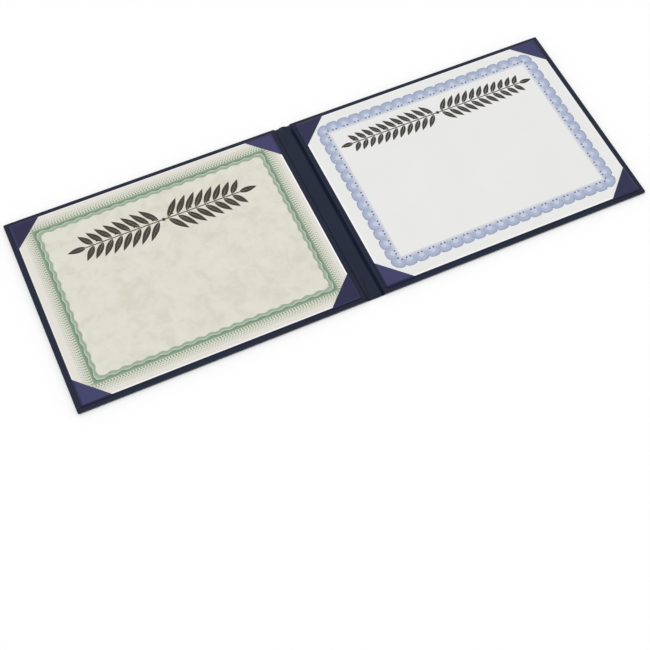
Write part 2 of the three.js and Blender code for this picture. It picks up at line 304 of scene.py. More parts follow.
class Group(Nodes):
    """The nodes of a new node group. An input without a default is a vector."""

    def __init__(self, name, inputs, outputs):
        tree = bpy.data.node_groups.new(name, "ShaderNodeTree")
        for label, value in inputs.items():
            kind = "NodeSocketVector" if value is None else "NodeSocketFloat"
            socket = tree.interface.new_socket(label, in_out="INPUT", socket_type=kind)
            if value is not None:
                socket.default_value = value
        for label in outputs:
            tree.interface.new_socket(label, in_out="OUTPUT", socket_type="NodeSocketFloat")
        super().__init__(tree)
        given = tree.nodes.new("NodeGroupInput")
        self.given = {name: Value(self, socket) for name, socket in given.outputs.items()}

    def finish(self, values):
        self.fill(self.tree.nodes.new("NodeGroupOutput"), values)
        return self.tree


def grey(value):
    return (value, value, value, 1.0)


def tint(colour, factor):
    """A darker or lighter shade of a colour."""
    return (*(c * factor for c in colour[:3]), 1.0)


def grain_group():
    """Leatherette grain: small pebbles with fine creases between them, and broad soft waves."""
    group = Group("Leatherette Grain", {"Vector": None}, ["Height", "Crease", "Wave"])
    vector = group.given["Vector"]
    warp = group.noise(vector, 0.6, 2.0)["Color"]
    bent = group.add("VectorMath", {0: vector, 1: warp}, operation="ADD")["Vector"]
    cells = group.add(
        "TexVoronoi", {"Vector": bent, "Scale": 1.0}, feature="DISTANCE_TO_EDGE")
    crease = group.ramp(cells["Distance"], (0.0, 0.0), (0.22, 1.0))
    return group.finish({
        "Height": crease + group.noise(vector, 3.0, 3.0)["Fac"] * 0.5,
        "Crease": crease,
        "Wave": group.noise(vector, 0.012, 2.0)["Fac"],
    })


def weave_group():
    """Plain weave along X and Y of its vector, one thread to a unit."""
    group = Group("Plain Weave", {"Vector": None}, ["Height", "Thread"])
    vector = group.given["Vector"]
    x, y, _ = group.split(vector)
    over = group.math("SINE", x * math.pi) * group.math("SINE", y * math.pi)
    return group.finish({"Height": abs(over), "Thread": group.noise(vector, 0.35, 2.0)["Fac"]})


def fibre_group():
    """Paper surface: fine fibres for the bump and soft clouds for the colour."""
    group = Group("Paper Fibre", {"Vector": None, "Cloud Size": 20.0}, ["Height", "Cloud"])
    vector = group.given["Vector"]
    size = group.math("DIVIDE", 1.0, group.given["Cloud Size"])
    return group.finish({
        "Height": group.noise(vector, 2.2, 5.0, Roughness=0.7)["Fac"],
        "Cloud": group.noise(vector, size, 5.0, Roughness=0.62, Distortion=0.4)["Fac"],
    })


def border_distance_group():
    """Signed distance outwards from a rectangle, in the unit of its vector."""
    group = Group(
        "Border Distance",
        {"Vector": None, "Middle X": 0.0, "Middle Y": 0.0, "Half Width": 1.0, "Half Height": 1.0},
        ["Distance"])
    given = group.given
    x, y, _ = group.split(given["Vector"])
    return group.finish({"Distance": group.highest(
        abs(x - given["Middle X"]) - given["Half Width"],
        abs(y - given["Middle Y"]) - given["Half Height"])})


# Width of the dark line of a mitre, and how far below the cover's top it begins
MITRE_W = 0.3
MITRE_DEPTH = 0.5


def mitre_mask(surface):
    """The seam where two turn-ins meet, on the diagonal of each corner's top."""
    x, y, z = surface.split(surface.place())
    off = abs((COVER_OUT - abs(x)) - (COVER_HALF - abs(y)))
    line = surface.math("LESS_THAN", off, MITRE_W)
    return line * surface.math("GREATER_THAN", z, COVER_TOP - MITRE_DEPTH)


def crease_shade_mask(surface, start, end, width):
    """Painted shade: a dark line along a crease, which grows over its first third."""
    x, y, _ = surface.split(surface.place())
    x, y = x - start.x, y - start.y
    along = (end - start).normalized()
    off = abs(y * along.x - x * along.y)
    run = x * along.x + y * along.y
    return (1 - off.share(width)) * run.share((end - start).length / 3)


def leatherette_material(settings, name="leatherette"):
    surface = Surface(name)
    base = settings.leatherette
    grain = surface.group(grain_group, {"Vector": surface.place(settings.grain)})
    colour = surface.shades(grain["Wave"], base, (0.3, 0.8), (0.7, 1.14))
    colour = surface.mix(grain["Crease"] * 0.35, colour, tint(base, 1.35))
    # The lining gets painted shade along its crease, and the covers get a dark mitre seam
    if name == "lining":
        start, end = (Vector((-p.x, p.y)) for p in FRONT_CREASE)
        seam = crease_shade_mask(surface, start, end, CREASE_SHADE)
    else:
        seam = mitre_mask(surface)
    return surface.finish({
        "Base Color": surface.mix(seam, colour, tint(base, 0.3)),
        "Roughness": grain["Wave"] * 0.16 + 0.34,
        "Normal": surface.bump(grain["Height"], settings.grain_depth),
        "Specular IOR Level": 0.18,
        "Coat Weight": 0.03,
        "Coat Roughness": 0.4,
    })


def cloth_material(settings):
    surface = Surface("panel cloth")
    weave = surface.group(weave_group, {"Vector": surface.place(0.45 * MM)})
    return surface.finish({
        "Base Color": surface.shades(weave["Thread"], settings.liner, (0.3, 0.8), (0.7, 1.2)),
        "Normal": surface.bump(weave["Height"], 0.05 * MM),
        "Roughness": 0.75,
        "Sheen Weight": 0.15,
    })


def board_material(settings):
    surface = Surface("greyboard")
    fibre = surface.group(fibre_group, {"Vector": surface.place(), "Cloud Size": 3.0})
    return surface.finish({
        "Base Color": surface.shades(
            fibre["Cloud"], settings.greyboard, (0.3, 0.8), (0.7, 1.15)),
        "Normal": surface.bump(fibre["Height"], 0.08 * MM),
        "Roughness": 0.92,
    })


def foam_material(settings):
    surface = Surface("foam")
    pores = surface.add("TexVoronoi", {"Vector": surface.place(0.8 * MM), "Scale": 1.0})
    return surface.finish({
        "Base Color": surface.shades(pores["Distance"], settings.foam, (0.0, 0.72), (0.6, 1.0)),
        "Normal": surface.bump(pores["Distance"], 0.2 * MM),
        "Roughness": 0.95,
    })


PATTERN_UV = "along_across"


def pattern_values(surface):
    """What a printed border carries: the repeats along it and its depth in millimetres."""
    phase, depth, _ = surface.split(surface.add("UVMap", uv_map=PATTERN_UV)["UV"])
    return phase, depth


def inked(surface, colour):
    """Ink on paper: flat colour with a faint fibre bump."""
    fibre = surface.group(fibre_group, {"Vector": surface.place(), "Cloud Size": 6.0})
    spread = surface.ramp(fibre["Cloud"], (0.3, 0.9), (0.7, 1.0))
    return surface.finish({
        "Base Color": surface.mix(1.0, colour, spread, "MULTIPLY"),
        "Normal": surface.bump(fibre["Height"], 0.02 * MM),
        "Roughness": 0.8,
        "Specular IOR Level": 0.25,
    })


def plain_ink_material(name, colour):
    return inked(Surface(name), tuple(colour))


# Meshes

# Two places nearer than this are the same, in millimetres
TOUCH = 0.01


def link_object(name, data):
    made = bpy.data.objects.new(name, data)
    bpy.context.scene.collection.objects.link(made)
    return made


def mesh_object(bm, name, material, sharp_angle=40):
    """Turns a bmesh in millimetres into a smooth shaded object in metres, with crisp cut edges."""
    bmesh.ops.scale(bm, vec=(MM, MM, MM), verts=bm.verts)
    bm.edges.index_update()
    cut = [e.index for e in bm.edges if e.is_boundary]
    mesh = bpy.data.meshes.new(name)
    bm.to_mesh(mesh)
    bm.free()
    for polygon in mesh.polygons:
        polygon.use_smooth = True
    mesh.set_sharp_from_angle(angle=math.radians(sharp_angle))
    for index in cut:
        mesh.edges[index].use_edge_sharp = True
    mesh.materials.append(material)
    return link_object(name, mesh)


def thicken(made, thickness, offset=-1.0):
    """Gives a skin its thickness, inwards unless the offset says otherwise."""
    wall = made.modifiers.new("thickness", "SOLIDIFY")
    wall.thickness = thickness
    wall.offset = offset
    return made


def to_side(bm, side):
    """Mirrors a shape that was built for the back cover, for the front one."""
    if side < 0:
        bmesh.ops.scale(bm, vec=(-1, 1, 1), verts=bm.verts)
        bmesh.ops.reverse_faces(bm, faces=bm.faces)


def chain(bm, points):
    """A chain of edges through the points."""
    verts = [bm.verts.new(p) for p in points]
    return [bm.edges.new(pair) for pair in zip(verts, verts[1:])]


def pull(bm, edges, place):
    """Extrudes a chain of edges and puts each new vertex where place(vertex) says."""
    made = bmesh.ops.extrude_edge_only(bm, edges=edges)["geom"]
    verts = {g for g in made if isinstance(g, bmesh.types.BMVert)}
    for vert in verts:
        vert.co = place(vert)
    return [
        g for g in made
        if isinstance(g, bmesh.types.BMEdge) and g.verts[0] in verts and g.verts[1] in verts
    ]


def facing_up(bm):
    """Turns the faces so that most of the area looks up."""
    bmesh.ops.recalc_face_normals(bm, faces=bm.faces)
    if sum(f.normal.z * f.calc_area() for f in bm.faces) < 0:
        bmesh.ops.reverse_faces(bm, faces=bm.faces)


def patch(bm, x, y, half_w, half_h, columns=1, rows=1, angle=0.0):
    """A flat rectangle of cells about a place."""
    bmesh.ops.create_grid(
        bm, x_segments=columns, y_segments=rows, size=1,
        matrix=Matrix.Translation((x, y, 0)) @ Matrix.Rotation(angle, 4, "Z")
        @ Matrix.Diagonal((half_w, half_h, 1, 1)))


def disc(bm, x, y, radius, segments=12):
    bmesh.ops.create_circle(
        bm, cap_ends=True, segments=segments, radius=radius,
        matrix=Matrix.Translation((x, y, 0)))


def slice_mesh(bm, place, normal, reach, clear=False):
    """Cuts the faces along a plane. With clear, what lies beyond it goes."""
    bmesh.ops.bisect_plane(
        bm, geom=bm.verts[:] + bm.edges[:] + bm.faces[:], dist=reach,
        plane_co=place, plane_no=normal, clear_outer=clear)


# Heights of the leatherette across the spine, at X measured from the middle
GROOVE_RISE = WRAP_LOW.z + HINGE_Z / 2
LINING_T = 0.2
LINING_GAP = 0.1
LINING_TOP = COVER_TOP + 0.15
SPINE_TOP = node_box("spine_wrap")[1].z
FOLD_START = HINGE_X - 1.0
FOLD_END = HINGE_X + 1.0
UNDER_PROFILE = [
    (0, 0), (4.35, 0), (5.35, GROOVE_RISE), (6.35, GROOVE_RISE), (14.85, 0), (COVER_OUT, 0),
]
# The back fold has a steep wall at its board, and the front one a slanting one
OVER_PROFILES = {
    "back": [
        (0, SPINE_TOP), (5.2, SPINE_TOP), (6.2, SPINE_TOP - 0.04), (6.6, SPINE_TOP - 0.14),
        (8.3, 1.0), (8.7, 0.9), (9.0, 1.4), (9.3, 3.4), (9.6, LINING_TOP - 0.05),
        (10.2, LINING_TOP), (COVER_OUT, LINING_TOP),
    ],
    "front": [
        (0, SPINE_TOP), (6.2, SPINE_TOP), (6.8, SPINE_TOP - 0.16), (7.3, SPINE_TOP - 0.2),
        (7.8, SPINE_TOP + 0.1), (9.4, 3.75), (9.9, LINING_TOP - 0.08), (10.6, LINING_TOP),
        (COVER_OUT, LINING_TOP),
    ],
}


def profile_height(profile, x):
    """Height of a profile at X, straight between its points."""
    x = abs(x)
    for (x0, z0), (x1, z1) in zip(profile, profile[1:]):
        if x <= x1:
            return z0 + (z1 - z0) * (x - x0) / (x1 - x0)
    return profile[-1][1]


# Distances from the covers' ends of the rows that shape the ends of the spine
END_ROWS = [1.1, 1.7, 2.4, 3.2, 4.2, 5.4, 6.8, 8.5]
# How far the middle of the spine curls up at its far and its near end, and how wide the curl is
FAR_RISE = 2.3
NEAR_RISE = 1.3
RISE_REACH = 4.6
# How much lower than a slant from the fold the closed groove lies, and how soon it closes
CLOSED_DROP = 0.1
CLOSING = 1.6


def end_share(y):
    """Grows to 1 at either end of the spine."""
    inset = COVER_HALF - abs(y)
    return max(0.0, 1 - inset / END_ROWS[-1]) ** 2


def over_height(cover, x, y):
    """Height of the lining. The spine's ends curl up, and at the far end the groove closes."""
    height = profile_height(OVER_PROFILES[cover], x)
    share = end_share(y)
    if y > 0 and x > HINGE_X:
        closed = min(LINING_TOP, HINGE_Z + x - HINGE_X - CLOSED_DROP)
        height += max(0.0, closed - height) * min(1.0, CLOSING * share)
    rise = FAR_RISE if y > 0 else NEAR_RISE
    return height + rise * share * max(0.0, 1 - (x / RISE_REACH) ** 2)


# X places of the mesh columns over the spine and the covers, beside those of the profiles
FOLD_STEPS = 10
SPINE_COLUMNS = {1.1, 2.2, 3.3}
COLUMNS_END = 15
COVER_COLUMNS = [20, 80, 150, 220]
NEAREST_COLUMNS = 0.08


def columns(cover):
    """X places of the mesh columns from the middle of the spine to the covers."""
    places = {x for x, _ in UNDER_PROFILE + OVER_PROFILES[cover]} | SPINE_COLUMNS
    places |= {
        FOLD_START + (FOLD_END - FOLD_START) * i / FOLD_STEPS for i in range(FOLD_STEPS + 1)}
    kept = [0]
    for x in sorted(places):
        if x - kept[-1] > NEAREST_COLUMNS and x <= COLUMNS_END:
            kept.append(x)
    return kept + COVER_COLUMNS


def quarter_turn(steps):
    """Sine and cosine of the steps of a quarter turn, without its start."""
    turns = [math.pi / 2 * i / steps for i in range(1, steps + 1)]
    return [(math.sin(turn), math.cos(turn)) for turn in turns]


def edge_levels(settings):
    """Inset from the cover's edge and height of each ring, from the underside to the turn-in."""
    roll, height, top = (
        size / MM for size in (settings.roll, settings.roll_height, settings.top_edge))
    levels = [(roll * (1 - sine), height * (1 - cosine)) for sine, cosine in quarter_turn(6)]
    levels.append((0.0, COVER_TOP - top))
    levels += [
        (top * (1 - cosine), COVER_TOP - top + top * sine) for sine, cosine in quarter_turn(3)]
    return levels + [(inset, COVER_TOP) for inset in END_ROWS + [settings.turn_in / MM]]


# Rows of the underside lie this far inside the turn-in, and the corners are round above this
INSIDE = 1.0
CORNER_LOW = 0.2


def leatherette_mesh(cover, settings):
    """One cover's leatherette with its half of the spine: underside, padded edges, turn-ins."""
    bm = bmesh.new()
    roll = settings.roll / MM
    inside = settings.turn_in / MM + INSIDE
    outer = COVER_OUT - roll
    end = COVER_HALF - roll
    xs = columns(cover) + [COVER_OUT - inside, outer]
    edges = chain(bm, [(x, end, profile_height(UNDER_PROFILE, x)) for x in xs])

    # Underside, drawn from its far edge to its near edge
    in_y = COVER_HALF - inside
    for y in (in_y, in_y / 2, 0, -in_y / 2, -in_y, -end):
        edges = pull(bm, edges, lambda v, y=y: (v.co.x, y, v.co.z))

    # Padded edges, walls and turn-ins on the three outer sides
    rim = [e for e in bm.edges if e.is_boundary and any(v.co.x > TOUCH for v in e.verts)]
    for inset, height in edge_levels(settings):
        def place(vert):
            x, y, _ = vert.co
            if x > outer - 1:
                x = COVER_OUT - inset
            if abs(y) > end - 1:
                y = math.copysign(COVER_HALF - inset, y)
            low = profile_height(UNDER_PROFILE, x)
            flat, high = (
                min(COVER_TOP, top - LINING_T - LINING_GAP)
                for top in (profile_height(OVER_PROFILES[cover], x), over_height(cover, x, y)))
            # The curl of the spine's ends lifts the top of the wall and leaves its foot
            share = height / COVER_TOP
            return (x, y, low + (flat - low) * share + (high - flat) * share ** 3)
        rim = pull(bm, rim, place)

    # Rounded corners
    def on_corner(vert):
        inset = COVER_OUT - vert.co.x
        diagonal = abs(inset - (COVER_HALF - abs(vert.co.y))) < TOUCH
        return diagonal and inset < END_ROWS[0] + TOUCH and vert.co.z > CORNER_LOW
    bmesh.ops.bevel(
        bm, geom=[e for e in bm.edges if all(on_corner(v) for v in e.verts)],
        offset=settings.corner / MM, offset_type="OFFSET", segments=4,
        profile=0.5, affect="EDGES", material=-1, clamp_overlap=True)
    return bm


def build_leatherette(cover, settings, material):
    bm = leatherette_mesh(cover, settings)
    bmesh.ops.recalc_face_normals(bm, faces=bm.faces)
    to_side(bm, COVERS[cover])
    return thicken(mesh_object(bm, f"{cover}_leatherette", material), settings.skin)


# Lining over the two folds, from the middle of the spine to the inner panels

LINING_END = LINER_LOW.x - 0.1
LINING_COLUMNS = 56
LINING_ROWS = 60
# Loose waves of the lining: their height, and the lengths of the noise across and along
LOOSE_HEIGHT = 0.06
LOOSE_LENGTHS = (9, 26)
LOOSE_SEED = 3.0
# A crease at the near end of the spine, and the width of the painted shade along it
FRONT_CREASE = [Vector((1.7, -83.5)), Vector((5.7, -107.8))]
CREASE_DEPTH = 0.3
CREASE_WIDTH = 0.7
CREASE_SHADE = CREASE_WIDTH * 1.6
# The back groove lies askew: its place and half width, how far its ends stray, and how far
# from the ends the stray starts and is full
GROOVE_X = 8.1
GROOVE_SPAN = 2.4
GROOVE_WANDER = 0.5
WANDER_FROM = 16
WANDER_FULL = 15


def distance_to_line(point, start, end):
    along = (end - start).normalized()
    run = max(0.0, min((end - start).length, (point - start).dot(along)))
    return (point - start - along * run).length


def lining_mesh(cover):
    bm = bmesh.new()
    xs = [LINING_END * i / LINING_COLUMNS for i in range(LINING_COLUMNS + 1)]
    straight = COVER_HALF - END_ROWS[-1]
    ys = [COVER_HALF - inset for inset in END_ROWS]
    ys += [straight * (1 - 2 * i / LINING_ROWS) for i in range(1, LINING_ROWS)]
    ys += [inset - COVER_HALF for inset in reversed(END_ROWS)]
    edges = chain(bm, [(x, ys[0], 0) for x in xs])
    for y in ys[1:]:
        edges = pull(bm, edges, lambda v, y=y: (v.co.x, y, 0))
    for vert in bm.verts:
        vert.co.z = over_height(cover, vert.co.x, vert.co.y)
    inner = [v for v in bm.verts if TOUCH < v.co.x < LINING_END - TOUCH]
    for _ in range(2):
        bmesh.ops.smooth_vert(
            bm, verts=inner, factor=0.5, use_axis_x=False, use_axis_y=False, use_axis_z=True)
    for vert in bm.verts:
        x, y, z = vert.co
        shape = noise.noise(
            Vector((x / LOOSE_LENGTHS[0], y / LOOSE_LENGTHS[1], LOOSE_SEED * COVERS[cover])))
        z += LOOSE_HEIGHT * shape * math.sin(math.pi * min(x / LINING_END, 1)) ** 2
        if cover == "front":
            near = distance_to_line(Vector((x, y)), *FRONT_CREASE)
            z -= CREASE_DEPTH * math.exp(-(near / CREASE_WIDTH) ** 2)
        else:
            span = max(0.0, 1 - abs(x - GROOVE_X) / GROOVE_SPAN)
            free = min(1.0, max(0.0, COVER_HALF - abs(y) - WANDER_FROM) / WANDER_FULL)
            x += GROOVE_WANDER * span * y / COVER_HALF * free
        vert.co = (x, y, z)
    return bm


def build_lining(cover, material):
    bm = lining_mesh(cover)
    facing_up(bm)
    to_side(bm, COVERS[cover])
    return thicken(mesh_object(bm, f"{cover}_lining", material), LINING_T * MM)


# Sheets of paper


def paper_lift(x, y, lift):
    """How far the paper stands off its panel, at a place measured from its middle."""
    u, v = x / SHEET_HALF_W, y / SHEET_HALF_H
    return lift * ((1 - u * u) * v ** 4 + (1 - v * v) * u ** 4)


def lay_on_sheet(bm, side, lift, height):
    """Puts flat print on the paper: each vertex follows the lift of the sheet."""
    for vert in bm.verts:
        x = vert.co.x - side * SHEET_X
        vert.co.z = SHEET_TOP + paper_lift(x, vert.co.y, lift) + height


def build_sheet(cover, settings, material):
    side = COVERS[cover]
    bm = bmesh.new()
    patch(bm, side * SHEET_X, 0, SHEET_HALF_W, SHEET_HALF_H, columns=56, rows=44)
    lay_on_sheet(bm, side, settings.lift / MM, 0)
    return thicken(mesh_object(bm, f"{cover}_paper", material), SHEET_T * MM)


# Painted highlight along a sheet's cut edge: its width, and its strength at the near side and
# elsewhere
EDGE_HIGHLIGHT_W = 1.7
NEAR_HIGHLIGHT = 0.8
WEAK_HIGHLIGHT = 0.35


def distance_outside(surface, vector, middle_x, middle_y, half_w, half_h):
    return surface.group(border_distance_group, {
        "Vector": vector, "Middle X": middle_x, "Middle Y": middle_y,
        "Half Width": half_w, "Half Height": half_h})["Distance"]


def sheet_edge_highlight_mask(surface, vector, middle_x):
    """Painted highlight along the sheet's cut edge: full beside the spine, strong near, weak
    elsewhere.
    """
    reach = distance_outside(
        surface, vector, middle_x, 0.0, SHEET_HALF_W - EDGE_HIGHLIGHT_W, SHEET_HALF_H - EDGE_HIGHLIGHT_W)
    x, y, _ = surface.split(vector)
    spine = (SHEET_LOW.x + EDGE_HIGHLIGHT_W - abs(x)).share(EDGE_HIGHLIGHT_W / 2)
    near = (EDGE_HIGHLIGHT_W - SHEET_HALF_H - y).share(EDGE_HIGHLIGHT_W / 2)
    return surface.highest(spine, reach.share(EDGE_HIGHLIGHT_W / 2) * WEAK_HIGHLIGHT, near * NEAR_HIGHLIGHT)


# How far out from the wavy border its tint reaches
TINT_REACH = 14.0


def parchment_colour(surface, vector, cloud, base):
    """Mottled inside the wavy border, paler outside it, with a green tint beside it."""
    low = (base[0] * 0.93, base[1] * 0.93, base[2] * 0.9, 1.0)
    high = (base[0] * 1.04, base[1] * 1.04, base[2] * 1.05, 1.0)
    mottled = surface.ramp(cloud, (0.36, low), (0.5, tint(base, 1.0)), (0.66, high))
    middle, half = box_frame("front_sheet_border")
    out = distance_outside(surface, vector, middle.x, middle.y, half.x, half.y)
    tinted = surface.ramp(
        out.share(TINT_REACH), (0.0, 0.0), (0.02, 1.0), (0.25, 0.75), (0.75, 0.0))
    pale = surface.mix(cloud, shade(222, 219, 211), shade(230, 226, 219))
    colour = surface.mix(surface.math("GREATER_THAN", out, 0.0), mottled, pale)
    return surface.mix(tinted, colour, shade(206, 209, 191))


def paper_material(cover, settings):
    surface = Surface(f"{cover} paper")
    vector = surface.place()
    front = cover == "front"
    fibre = surface.group(
        fibre_group, {"Vector": vector, "Cloud Size": 13.0 if front else 60.0})
    if front:
        colour = parchment_colour(surface, vector, fibre["Cloud"], settings.parchment)
    else:
        colour = surface.shades(fibre["Cloud"], settings.white, (0.35, 0.985), (0.65, 1.0))
    # Near-white painted highlight along the sheet's cut edges
    rim = sheet_edge_highlight_mask(surface, vector, COVERS[cover] * SHEET_X)
    return surface.finish({
        "Base Color": surface.mix(rim, colour, shade(253, 253, 254)),
        "Normal": surface.bump(fibre["Height"], 0.03 * MM),
        "Roughness": 0.82,
        "Specular IOR Level": 0.3,
    })


# Print follows a closed path: each station has a place, a direction across and a phase


def path_sides(half_w, half_h):
    """The four sides of a rectangle: start, direction along, outward normal and length."""
    for along in (Vector((1, 0)), Vector((0, 1)), Vector((-1, 0)), Vector((0, -1))):
        out = Vector((along.y, -along.x))
        corner = out - along
        length = 2 * half_w if along.x else 2 * half_h
        yield Vector((corner.x * half_w, corner.y * half_h)), along, out, length


def mitred_stations(half_w, half_h, pitch, steps):
    """Round a rectangle with mitred corners; phase counts the pattern's repeats."""
    stations, phase = [], 0
    for start, along, out, length in path_sides(half_w, half_h):
        repeats = round(length / pitch)
        for i in range(repeats * steps):
            share = i / (repeats * steps)
            across = -out + along * (1 - 2 * share)
            # Waves go straight in, except beside a corner, where they follow the mitre
            lean = max(0.0, 1 - 2 * share * repeats) - max(0.0, 1 - 2 * (1 - share) * repeats)
            stations.append(
                (start + along * length * share, across, -out + along * lean, phase + i / steps))
        phase += repeats
    return stations


def rounded_stations(half_w, half_h, pitch, steps):
    """Round a rectangle with one repeat of the pattern fanned about each corner."""
    stations, phase = [], 0
    for start, along, out, length in path_sides(half_w, half_h):
        for i in range(steps):
            angle = math.pi / 2 * i / steps
            across = -along * math.cos(angle) + out * math.sin(angle)
            stations.append((start, across, across, phase + i / steps))
        phase += 1
        repeats = round(length / pitch)
        for i in range(repeats * steps):
            run = length * i / (repeats * steps)
            stations.append((start + along * run, out, out, phase + i / steps))
        phase += repeats
    return stations


def print_ring(stations, depths, middle):
    """A flat ring of rows. Each depth turns a phase into the row's even depth and its wave."""
    bm = bmesh.new()
    index = bm.verts.layers.int.new("station")
    depth_layer = bm.verts.layers.float.new("depth")

    def place(vert, depth):
        point, across, wave_way, phase = stations[vert[index]]
        even, wave = depth(phase)
        vert[depth_layer] = even + wave
        spot = point + across * even + wave_way * wave + middle
        return (spot.x, spot.y, 0)

    verts = []
    for i in range(len(stations)):
        vert = bm.verts.new()
        vert[index] = i
        vert.co = place(vert, depths[0])
        verts.append(vert)
    edges = [bm.edges.new((verts[i - 1], verts[i])) for i in range(len(verts))]
    for depth in depths[1:]:
        edges = pull(bm, edges, lambda v, depth=depth: place(v, depth))

    uv = bm.loops.layers.uv.new(PATTERN_UV)
    last = len(stations) - 1
    total = round(stations[-1][3])
    for face in bm.faces:
        wraps = any(v[index] == last for v in face.verts)
        for loop in face.loops:
            phase = stations[loop.vert[index]][3]
            if wraps and loop.vert[index] == 0:
                phase = total
            loop[uv].uv = (phase, loop.vert[depth_layer])
    facing_up(bm)
    return bm


PRINT_T = 0.03
PRINT_GAP = 0.012


def finish_print(bm, name, settings, material, over=0.0):
    """Lays print on its cover's sheet. The name starts with the cover."""
    side = COVERS[name.split("_")[0]]
    lay_on_sheet(bm, side, settings.lift / MM, PRINT_GAP + over)
    return thicken(mesh_object(bm, name, material), PRINT_T * MM, offset=1.0)


# Wavy border of the front sheet

WAVE_PITCH = 13.4
WAVE_BAND = 7.4
WAVE_HEIGHT = 0.85


# Depths in the wavy border: where its waves are full, its dark thread, and its whole ramp
WAVE_FULL = 3.0
WAVE_THREAD = 3.15
WAVE_RAMP = 8.0
# How much of the border's wave the colours follow
WAVE_SWING = 0.8


def wave_material(settings):
    """From outside in: a fading edge, the dark wavy core, a light line, a pale band, a fine rim."""
    surface = Surface("green print")
    phase, depth = pattern_values(surface)
    swing = surface.math("COSINE", phase * math.tau)
    place = depth - depth.share(WAVE_FULL) * swing * (WAVE_HEIGHT * WAVE_SWING)
    dark, pale, light = tuple(settings.green), tuple(settings.pale_green), shade(204, 215, 198)
    colour = surface.ramp(
        place / WAVE_RAMP,
        (0.0, shade(168, 181, 158)), (0.06, shade(150, 168, 144)), (0.15, shade(128, 152, 128)),
        (0.3, dark), (0.41, dark), (0.47, light), (0.5, light),
        (0.56, pale), (0.68, shade(162, 179, 158)), (0.8, shade(138, 156, 136)),
        (0.94, shade(204, 209, 193)))
    thread = surface.ramp(abs(place - WAVE_THREAD), (0.1, 0.75), (0.5, 0.0))
    colour = surface.mix(thread, colour, shade(80, 118, 94))
    strand = abs(surface.math("SINE", phase * (math.tau * 4))) * 0.14
    return inked(surface, surface.mix(strand, colour, shade(214, 222, 206)))


def build_wave_border(settings):
    middle, half = box_frame("front_sheet_border")
    stations = mitred_stations(half.x, half.y, WAVE_PITCH, 16)

    def depth(share):
        return lambda phase: (
            share * WAVE_BAND, share * WAVE_HEIGHT * math.cos(math.tau * phase))
    bm = print_ring(stations, [depth(share) for share in (0, 0.25, 0.5, 0.75, 1)], middle)
    return finish_print(bm, "front_print_border", settings, wave_material(settings))


TICK_PITCH = 2.9
# Distance out from the border, shift along it, length and width of the strokes of each row
TICK_ROWS = [
    (1.2, 0.0, 2.0, 1.25), (3.3, 0.3, 1.2, 0.85), (5.0, 0.5, 1.0, 0.6), (6.6, 0.6, 0.9, 0.45),
    (8.1, 0.65, 0.8, 0.35),
]


def build_ticks(settings):
    """Rows of short strokes outside the wavy border."""
    middle, half = box_frame("front_sheet_border")
    bm = bmesh.new()
    for away, shift, length, width in TICK_ROWS:
        for start, along, out, side in path_sides(half.x + away, half.y + away):
            count = round(side / TICK_PITCH)
            for i in range(count):
                spot = start + along * (side * (i + shift) / count) + middle
                patch(bm, *spot, length / 2, width / 2, angle=math.atan2(out.y, out.x))
    material = plain_ink_material("green strokes", shade(140, 153, 132))
    return finish_print(bm, "front_print_strokes", settings, material)


# Scalloped border of the back sheet

LOBE_PITCH = 12.9
LOBE_BAND = 10.7
LOBE_RISE = 3.2
LOBE_SHIFT = Vector((-0.4, 0.0))
LOBE_STEPS = 12
LOBE_FLATNESS = 0.9
# The rim of a lobe is an arc about this depth
LOBE_CENTRE = LOBE_BAND + LOBE_RISE - (LOBE_PITCH ** 2 / 4 + LOBE_RISE ** 2) / (2 * LOBE_RISE)


def lobe_edge(phase):
    """Outer edge of the scallops, from the inner edge of the border."""
    across = 2 * (phase % 1.0) - 1
    return LOBE_BAND + LOBE_RISE * math.sqrt(max(0.0, 1 - across * across)) ** LOBE_FLATNESS


def lobe_stations():
    middle, half = box_frame("back_sheet_border")
    inner_w = half.x - LOBE_BAND - LOBE_RISE
    inner_h = half.y - LOBE_BAND - LOBE_RISE
    return middle + LOBE_SHIFT, rounded_stations(inner_w, inner_h, LOBE_PITCH, LOBE_STEPS)


def build_lobe_border(settings):
    middle, stations = lobe_stations()
    shares = [0, 0.15, 0.35, 0.6, 0.8, 1]
    depths = [lambda phase, share=share: (share * lobe_edge(phase), 0.0) for share in shares]
    bm = print_ring(stations, depths, middle)
    return finish_print(bm, "back_print_border", settings, lobe_material(settings))


# Lengths over which the colours of the lobes, and of the fade along their inner edge, run
LOBE_RAMP = 9.0
LOBE_FADE = 3.0


def lobe_material(settings):
    """Flat lobes with a greyer rim and fine rays, and a pale lace along the inner edge."""
    surface = Surface("blue print")
    phase, depth = pattern_values(surface)
    across = (surface.math("FRACT", phase) - 0.5) * LOBE_PITCH
    up = depth - LOBE_CENTRE
    place = surface.add("CombineXYZ", {"X": across, "Y": up})["Vector"]
    away = surface.add("VectorMath", {0: place}, operation="LENGTH")["Value"]
    blue, deep, pale = tuple(settings.blue), tuple(settings.deep_blue), shade(200, 208, 226)
    colour = surface.ramp(
        away / LOBE_RAMP,
        (0.0, pale), (0.28, pale), (0.42, blue), (0.52, shade(180, 190, 213)), (0.6, blue),
        (0.78, blue), (0.86, deep), (1.0, deep))
    rays = abs(surface.math("SINE", surface.math("ARCTAN2", across, up) * 7.0))
    colour = surface.mix(rays * 0.25, colour, pale)
    knots = abs(surface.math("SINE", phase * (math.tau * 2)))
    lace = surface.mix(knots * 0.6, shade(212, 216, 228), shade(184, 191, 212))
    inner = surface.ramp(depth / LOBE_RAMP, (0.0, 1.0), (0.3, 0.9), (0.6, 0.0), (1.0, 0.0))
    colour = surface.mix(inner, colour, lace)
    fade = surface.ramp(depth / LOBE_FADE, (0.0, 0.75), (1.0, 0.0))
    return inked(surface, surface.mix(fade, colour, shade(228, 229, 231)))


DOT_OUT = 3.3
DOT_APART = 2.0
DOT_R = 0.95


